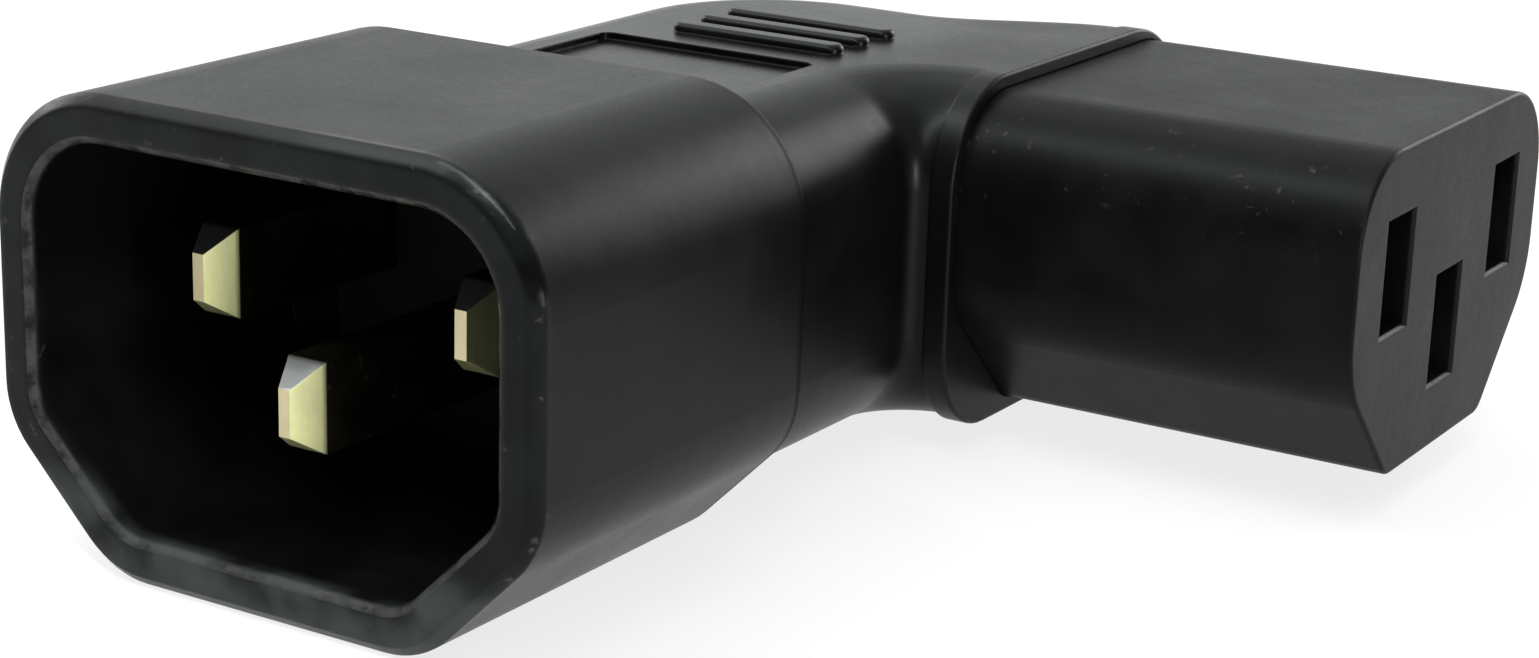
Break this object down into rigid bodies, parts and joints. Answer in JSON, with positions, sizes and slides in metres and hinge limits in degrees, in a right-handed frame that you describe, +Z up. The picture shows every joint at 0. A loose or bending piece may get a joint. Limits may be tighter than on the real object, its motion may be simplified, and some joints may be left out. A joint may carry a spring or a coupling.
{
  "type": "angled iec adapter",
  "caption": "Right-angle power adapter: a moulded black elbow with a recessed flat-pin inlet on one end and a slotted connector nose on the other, turned to the side.",
  "frame": {"origin": "centre of the bounding box, at the level of the shroud's flat bottom", "axes": "+Z up, the inlet's recess faces -Y, the connector nose faces +X"},
  "size_m": [0.0476, 0.0594, 0.021],
  "materials": {
    "housing": "satin moulded black",
    "nose": "satin moulded black",
    "carrier": "dull black",
    "pin_brass": "pale, drawn along the pin",
    "contact_brass": "stamped",
    "copper": "stranded copper",
    "line_insulation": "matte brown",
    "neutral_insulation": "matte blue",
    "earth_insulation": "matte green with a yellow stripe"
  },
  "bodies": {
    "root": {"elbow_housing": "housing", "pin_carrier": "carrier", "socket_nose": "nose", "contact_retainer": "carrier", "line_pin": "pin_brass", "neutral_pin": "pin_brass", "earth_pin": "pin_brass", "line_contact": "contact_brass", "neutral_contact": "contact_brass", "earth_contact": "contact_brass", "line_core": "copper", "neutral_core": "copper", "earth_core": "copper", "line_sleeve": "line_insulation", "neutral_sleeve": "neutral_insulation", "earth_sleeve": "earth_insulation"}
  },
  "joints": []
}
